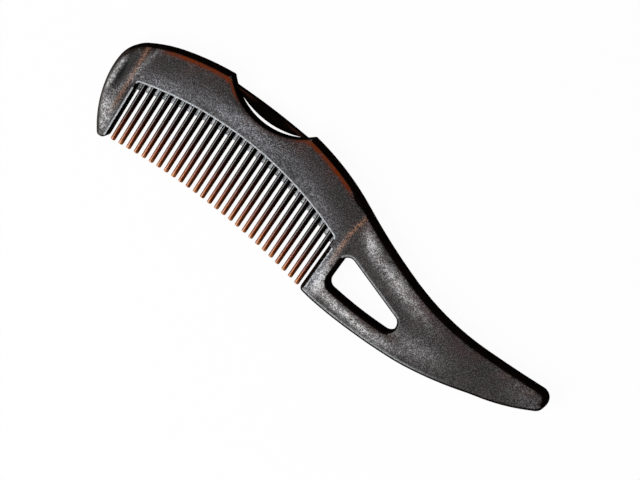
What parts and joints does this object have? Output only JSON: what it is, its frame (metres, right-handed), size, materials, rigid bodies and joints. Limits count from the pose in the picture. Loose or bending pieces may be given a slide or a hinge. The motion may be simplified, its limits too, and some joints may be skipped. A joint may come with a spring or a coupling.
{
  "type": "flea comb",
  "caption": "Hand-held grooming comb with blunt tapered teeth along an arched head, a thumb notch in the spine, a finger hole and a swelling curved handle.",
  "frame": {"origin": "centre of the comb's bounding box, on its flat back", "axes": "+X from the nose to the end of the handle, +Y towards the spine with the teeth pointing to -Y, +Z out of the front face"},
  "size_m": [0.2088, 0.0574, 0.008],
  "materials": {
    "body_plastic": "fine-textured dark brown-grey tortoiseshell plastic",
    "tooth_plastic": "polished translucent brown, lighter amber at the tips",
    "rest_plastic": "polished near-black brown"
  },
  "bodies": {
    "root": {"rear_shell": "body_plastic", "nose_cover": "body_plastic", "head_cover": "body_plastic", "handle_cover": "body_plastic", "thumb_rest": "rest_plastic", "tooth_clamp_bar": "rest_plastic", "tooth_01": "tooth_plastic", "tooth_02": "tooth_plastic", "tooth_03": "tooth_plastic", "tooth_04": "tooth_plastic", "tooth_05": "tooth_plastic", "tooth_06": "tooth_plastic", "tooth_07": "tooth_plastic", "tooth_08": "tooth_plastic", "tooth_09": "tooth_plastic", "tooth_10": "tooth_plastic", "tooth_11": "tooth_plastic", "tooth_12": "tooth_plastic", "tooth_13": "tooth_plastic", "tooth_14": "tooth_plastic", "tooth_15": "tooth_plastic", "tooth_16": "tooth_plastic", "tooth_17": "tooth_plastic", "tooth_18": "tooth_plastic", "tooth_19": "tooth_plastic", "tooth_20": "tooth_plastic", "tooth_21": "tooth_plastic", "tooth_22": "tooth_plastic", "tooth_23": "tooth_plastic", "tooth_24": "tooth_plastic", "tooth_25": "tooth_plastic", "tooth_26": "tooth_plastic", "tooth_27": "tooth_plastic"}
  },
  "joints": []
}
